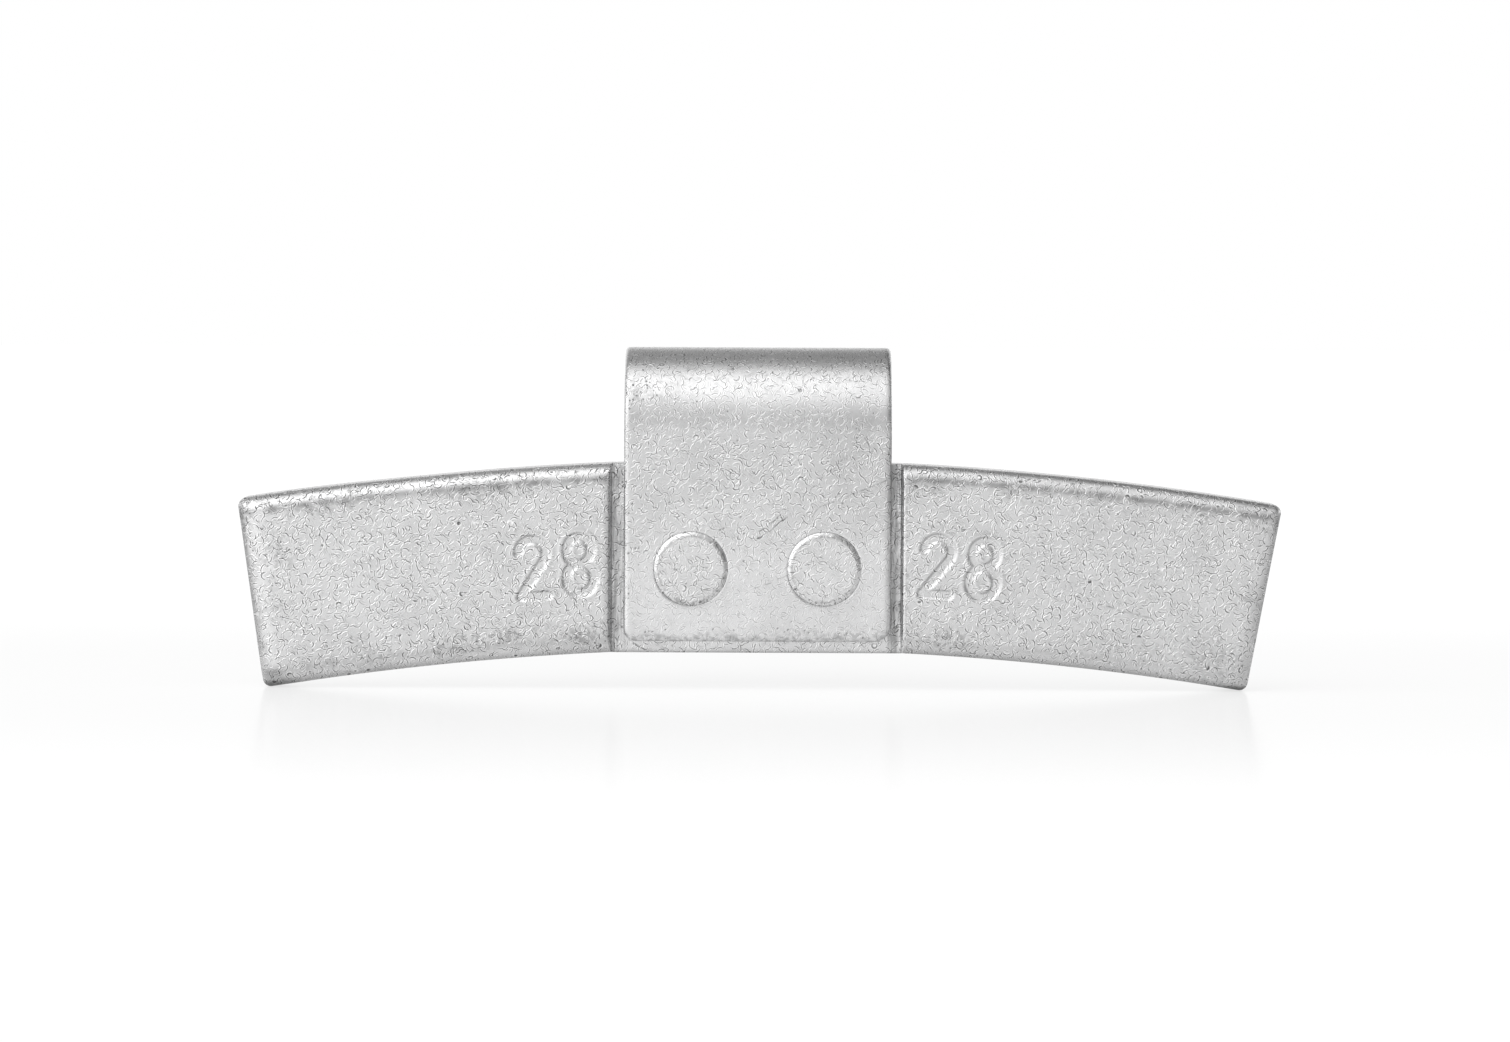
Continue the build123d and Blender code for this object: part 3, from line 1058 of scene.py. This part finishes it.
def bar_marks(graph, groups, place):
    """Painted shade in streaks down the recess beside the clip, a painted shadow at the feet, a painted
    highlight on the recess's right shoulder, scratches on the arms and cracks in the heads.
    """
    x, y, z = graph.parts(place)
    # Painted shade in the recess beside the clip, broken by upright streaks and deepest beside the clip
    # on the right and along the left wall; the right wall is left out of it
    beside_clip = graph.fade(abs(x), CLIP_HALF - 0.3, CLIP_HALF)
    in_recess = graph.fade(abs(x), PAD_HALF + 0.15, PAD_HALF - 0.1)
    on_pad = graph.fade(y, PAD_FRONT + 0.6, PAD_FRONT + 0.2)
    streak = graph.use(groups["streaks"], Place=place, Width=0.14, Length=1.6)[0]
    by_clip = 0.19 * graph.fade(x, 9.05, 8.85) * graph.fade(x, 0, 1)
    by_wall = 0.17 * graph.fade(x, -8.7, -9.25)
    right_wall = graph.fade(abs(x - RIGHT_WALL_X), 0.1, 0.04)
    painted_recess_shade = beside_clip * in_recess * on_pad * (0.28 * streak + by_clip + by_wall) * (1.0 - right_wall)
    arm, pad, head = BAR_FRONT, PAD_FRONT, bar_low[1]
    scratches = add_scratches(graph, groups, place, [
        (on_front(pad, (-8.3, -17.75), (-7.0, -18.5)), 0.09, 0.5),
        (on_front(arm, (21.9, -15.3), (23.4, -15.7), (25.3, -16.2)), 0.08, 0.5),
        (on_front(arm, (-11.6, -17.1), (-11.2, -17.4), (-11.5, -17.6)), 0.09, 0.4),
        (on_front(head, (-5.5, -13.1), (-4.7, -13.25), (-4.1, -12.95), (-3.2, -13.1)), 0.07, 0.65),
        (on_front(head, (-3.6, -14.4), (-3.0, -14.45)), 0.07, 0.55),
        (on_front(head, (2.1, -13.35), (2.8, -13.1)), 0.07, 0.6),
    ])
    curl = add_scratches(graph, groups, place, [
        (on_front(arm, (-24.9, -8.8), (-24.2, -8.95), (-24.1, -9.5), (-24.7, -9.75)), 0.09, 1.0),
    ])
    # Painted shadow along the lower edge at the feet
    painted_foot_shadow = graph.fade(z, FEET + 0.5, FEET + 0.12, 0.0, 0.5)
    dark = graph.most(painted_recess_shade, painted_foot_shadow, scratches)

    on_head = graph.fade(y, CLIP_FRONT + 0.08, CLIP_FRONT + 0.03)
    # Painted highlight in patches on the right shoulder of the recess, and painted light on the
    # recess's right wall
    burr = graph.fade(abs(x - BURR_X), 0.17, 0.05) * graph.fade(y, BAR_FRONT + 0.3, BAR_FRONT + 0.1)
    painted_shoulder_highlight = burr * graph.fade(graph.noise(place, 4.5, 3.0), 0.5, 0.58)
    below_clip = graph.fade(z, CLIP_END + 0.1, CLIP_END - 0.1)
    below_clip = below_clip * graph.fade(abs(x), PAD_HALF + 0.1, PAD_HALF - 0.1)
    lighter = 1.0 + 0.06 * on_head + 0.24 * painted_shoulder_highlight + 0.055 * below_clip + 0.3 * right_wall
    wrinkling = (1.0 - 0.32 * on_head) * (1.0 - 0.25 * below_clip)
    wrinkling = wrinkling * graph.fade(x, -10.0, 15.0, 0.97, 0.84)
    return BAR_GREY * lighter, wrinkling, dark, 0.03 * curl - 0.04 * dark


def clip_marks(graph, groups, place):
    """Long scratches on the clip, painted shade along its right edge and in a broken line along its
    lower edge, and painted light towards its lower end.
    """
    x, y, z = graph.parts(place)
    front = CLIP_FRONT
    streak = graph.use(groups["streaks"], Place=place, Width=0.12, Length=1.3)[0]
    # Painted shade along the clip's right edge, broken by streaks, and a broken line of painted shade
    # along its lower edge
    right_edge_shade = 0.33 * graph.fade(x, CLIP_HALF - 0.5, CLIP_HALF - 0.1) * graph.fade(z, -2, -7)
    right_edge_shade = right_edge_shade * graph.fade(streak, 0, 1, 0.5, 1.0)
    uneven_z = z + graph.fade(graph.noise(place, 1.2), 0.3, 0.7, -0.12, 0.12)
    lower_edge_shade = 0.34 * graph.fade(uneven_z, CLIP_END + 0.55, CLIP_END + 0.2)
    lower_edge_shade = lower_edge_shade * graph.fade(graph.noise(place, 2.6, 4.0), 0.4, 0.6)
    lower_edge_shade = lower_edge_shade * graph.fade(y, front + STRIP, front + STRIP / 2)
    scratches = add_scratches(graph, groups, place, [
        (on_front(front, (8.6, -7.25), (4.0, -9.15), (1.2, -11.9)), 0.08, 0.5),
        (on_front(front, (5.4, -6.1), (2.6, -8.7)), 0.08, 0.45),
        (on_front(front, (3.4, -13.0), (-0.2, -14.4)), 0.07, 0.4),
        (on_front(front, (6.2, -3.5), (7.4, -5.6)), 0.07, 0.4),
        (on_front(front + 0.35, (-5.75, -2.65), (-4.55, -2.5)), 0.1, 0.5),
    ])
    ladder = add_scratches(graph, groups, place, [
        (on_front(front, (1.95, -9.75), (0.05, -11.2)), 0.1, 0.85),
        (on_front(front, (1.7, -9.52), (-0.1, -10.9)), 0.09, 0.75),
    ], gaps=(0.34, 0.46))
    dark = graph.most(right_edge_shade, lower_edge_shade, scratches, ladder)
    # Painted light: the clip gets lighter towards its lower end
    grey = CLIP_GREY * graph.fade(z, -7.5, -14.0, 1.0, 1.11)
    wrinkling = graph.fade(z, -16.0, -7.0, 0.28, 0.85) * graph.fade(z, -5.5, -3.5, 1.0, 0.56)
    return grey, wrinkling, dark, -0.03 * dark


# Floor, light and camera

FLOOR_HALF = 1500.0
FLOOR_ROUGHNESS = 0.15
FLOOR_GLOSS = 0.22
SHADOW_SHARE = 0.22
FLOOR_GLOW = 0.866
# Matt grey and glow of the floor where it shows painted shade to the metal
MIRRORED_FLOOR = (0.35, 0.18)
WHITE = (1, 1, 1, 1)
KEY_STRENGTH = 0.6
LEFT_LIGHT = (-50, 8)
LEFT_STRENGTH = 0.46


def empty_graph(owner):
    """The node tree of a new material or world, with nothing in it yet."""
    owner.use_nodes = True
    owner.node_tree.nodes.clear()
    return Graph(owner.node_tree)


def show_white(graph, share):
    """How far a ray sees a white backdrop: wholly from the camera, and a share of it in gloss."""
    path = graph.add("ShaderNodeLightPath").outputs
    in_gloss = graph.most(path["Is Glossy Ray"], path["Is Transmission Ray"])
    return graph.most(path["Is Camera Ray"], in_gloss * graph.clamp(share))


def make_floor():
    """A wide pale floor under the feet, which shows white and keeps the weight's shadow."""
    mesh = bpy.data.meshes.new("floor")
    half, level = FLOOR_HALF * MM, FEET * MM
    corners = [(-half, -half, level), (half, -half, level), (half, half, level), (-half, half, level)]
    mesh.from_pydata(corners, [], [(0, 1, 2, 3)])
    material = bpy.data.materials.new("white_floor")
    mesh.materials.append(material)
    graph = empty_graph(material)

    def matt_and_glow(matt, glow):
        """A matt surface of a grey that also glows evenly, which thins the shadows on it."""
        surface = graph.add("ShaderNodeBsdfDiffuse", (matt, matt, matt, 1)).outputs[0]
        light = graph.add("ShaderNodeEmission", WHITE, glow).outputs[0]
        return graph.add("ShaderNodeAddShader", surface, light).outputs[0]

    x, y, z = graph.parts(graph.place())
    gloss = graph.add("ShaderNodeBsdfGlossy")
    gloss.inputs["Roughness"].default_value = FLOOR_ROUGHNESS
    gloss_share = graph.fade(abs(y), 20.0, 105.0, FLOOR_GLOSS, 0.0)
    white = graph.blend(gloss_share, matt_and_glow(SHADOW_SHARE, FLOOR_GLOW), gloss.outputs[0])

    # Painted shade and light for the metal: it sees the floor white in front of the weight, and dimmer
    # under and behind it, as the weight's shadow would leave it
    under = graph.fade(y, 14.0, -6.0, 0.0, 0.55)
    before = graph.fade(y, -6.0, -36.0, 0.0, 0.45) + graph.fade(y, -50.0, -240.0, 0.0, -0.42)
    across = graph.fade(x, -40.0, 40.0, 0.05, -0.08)
    far_left = graph.fade(x, -36.0, -80.0) * graph.fade(y, 30.0, -20.0)
    in_sight = show_white(graph, under + before + across + far_left)
    seen = graph.blend(in_sight, matt_and_glow(*MIRRORED_FLOOR), white)
    graph.add("ShaderNodeOutputMaterial", seen)
    floor = put_in_scene("floor", mesh)


def toward(azimuth, elevation):
    """Direction so many degrees right of the front and above the horizon."""
    turn, rise = radians(azimuth), radians(elevation)
    return (sin(turn) * cos(rise), -cos(turn) * cos(rise), sin(rise))


def make_world():
    """Light from all round: brightest from above on the left, dim overhead, with a white backdrop."""
    world = bpy.data.worlds.new("studio")
    bpy.context.scene.world = world
    graph = empty_graph(world)
    direction = graph.add("ShaderNodeTexCoord").outputs["Generated"]
    x, y, z = graph.parts(direction)
    over = graph.math("ARCTAN2", z, -1.0 * y) * (180 / pi)
    room = graph.fade(y, -0.17, 0.45, 1.0, 0.37)
    side = graph.fade(x, -0.45, 0.3, 0.2, -0.14) + graph.fade(x, 0.3, 0.8, 0.0, -0.1)
    band = graph.fade(z, -0.08, 0.12, 0.0, -0.3) * graph.fade(z, 0.7, 0.34) * graph.fade(y, 0.2, 0.0)
    right_band = graph.fade(x, 0.03, 0.12, 0.0, -0.12) * graph.fade(over, 5, 15)
    right_band = right_band * graph.fade(over, 75, 50)
    key = graph.fade(over, 34, 60, 0.0, KEY_STRENGTH) * graph.fade(over, 106, 74)
    key = key * graph.fade(x, 0.17, -0.05)
    off_left = graph.vector("DOT_PRODUCT", direction, toward(*LEFT_LIGHT))
    left = graph.fade(off_left, cos(radians(50)), cos(radians(12)), 0.0, LEFT_STRENGTH)
    beside = graph.fade(x, -0.07, -0.14, 0.0, -0.2) + graph.fade(x, 0.07, 0.14, 0.0, -0.09)
    above = beside * graph.fade(over, 64, 86) * graph.fade(over, 150, 120)
    light = room + side + band + right_band + key + left + above
    lit = graph.add("ShaderNodeBackground", WHITE, light).outputs[0]
    white = graph.add("ShaderNodeBackground", WHITE, 1.0).outputs[0]
    backdrop = show_white(graph, graph.fade(z, 0.62, 0.2) * graph.fade(y, 0.2, 0.6))
    graph.add("ShaderNodeOutputWorld", graph.blend(backdrop, lit, white))


CAMERA_DISTANCE = 380.0
CAMERA_RISE = radians(2.5)
CAMERA_ROLL = radians(0.26)
SENSOR_WIDTH = 36.0
FIELD_WIDTH = 96.93
AIM = (-0.17, -6.0, -10.08)


def make_camera():
    """A long lens a little above the weight, square to its front."""
    camera = bpy.data.cameras.new("camera")
    camera.sensor_width = SENSOR_WIDTH
    camera.lens = SENSOR_WIDTH * CAMERA_DISTANCE / FIELD_WIDTH
    camera.clip_start = 0.01
    eye = put_in_scene("camera", camera)
    back = Vector((0, -cos(CAMERA_RISE), sin(CAMERA_RISE))) * CAMERA_DISTANCE
    look = Matrix.Rotation(pi / 2 - CAMERA_RISE, 4, "X") @ Matrix.Rotation(CAMERA_ROLL, 4, "Z")
    eye.matrix_world = Matrix.Translation((Vector(AIM) + back) * MM) @ look
    bpy.context.scene.camera = eye


bpy.context.scene.view_settings.view_transform = "Standard"
groups = make_groups()
for piece, node, slot, marks in (
    (make_bar(), "weight_bar", "bar_coating", bar_marks),
    (make_clip(), "spring_clip", "clip_coating", clip_marks),
):
    piece.data.materials.append(make_coating(slot, groups, marks))
    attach(piece, "root")
    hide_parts(node)
make_floor()
make_world()
make_camera()
